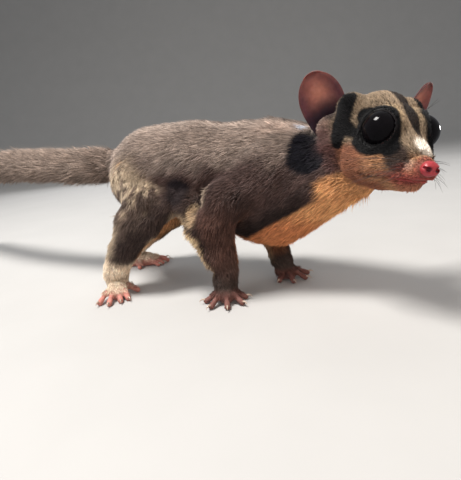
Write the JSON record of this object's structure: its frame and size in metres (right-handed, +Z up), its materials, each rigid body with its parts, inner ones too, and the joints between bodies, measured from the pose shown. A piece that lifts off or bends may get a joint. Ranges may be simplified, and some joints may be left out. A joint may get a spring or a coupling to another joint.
{
  "type": "sugar glider model",
  "caption": "Life-size sugar glider standing on four feet, head turned to its right, large dark eyes, upright bare ears, bushy tail held out behind.",
  "frame": {"origin": "on the floor under the middle of the animal's bounding box, tail included", "axes": "+X towards the animal's front, +Y to its left, +Z up; the tail runs towards -X"},
  "size_m": [0.3036, 0.0742, 0.0786],
  "materials": {
    "fur_back": "soft ticked grey-brown coat with a thin dark line along the back",
    "fur_head": "cream and tan with a dark midline stripe and black eye rings",
    "fur_tail": "bushy grey-brown coat, darker to the tip",
    "fur_edge": "pale fringe of the folded gliding membrane",
    "ear": "bare thin skin, pinkish brown",
    "eye": "wet black gloss",
    "nose": "moist pink skin",
    "paw": "dusky pink skin with thin pale hair"
  },
  "bodies": {
    "root": {"head": "fur_head", "nose_pad": "nose", "eye_right": "eye", "eye_left": "eye", "ear_right": "ear", "ear_left": "ear", "neck": "fur_back", "torso": "fur_back", "upper_arm_right": "fur_back", "forearm_right": "fur_back", "hand_right": "paw", "upper_arm_left": "fur_back", "forearm_left": "fur_back", "hand_left": "paw", "thigh_right": "fur_back", "shank_right": "fur_back", "foot_right": "paw", "thigh_left": "fur_back", "shank_left": "fur_back", "foot_left": "paw", "membrane_right": "fur_edge", "membrane_left": "fur_edge", "tail_base": "fur_tail", "tail_mid": "fur_tail", "tail_tip": "fur_tail"}
  },
  "joints": []
}
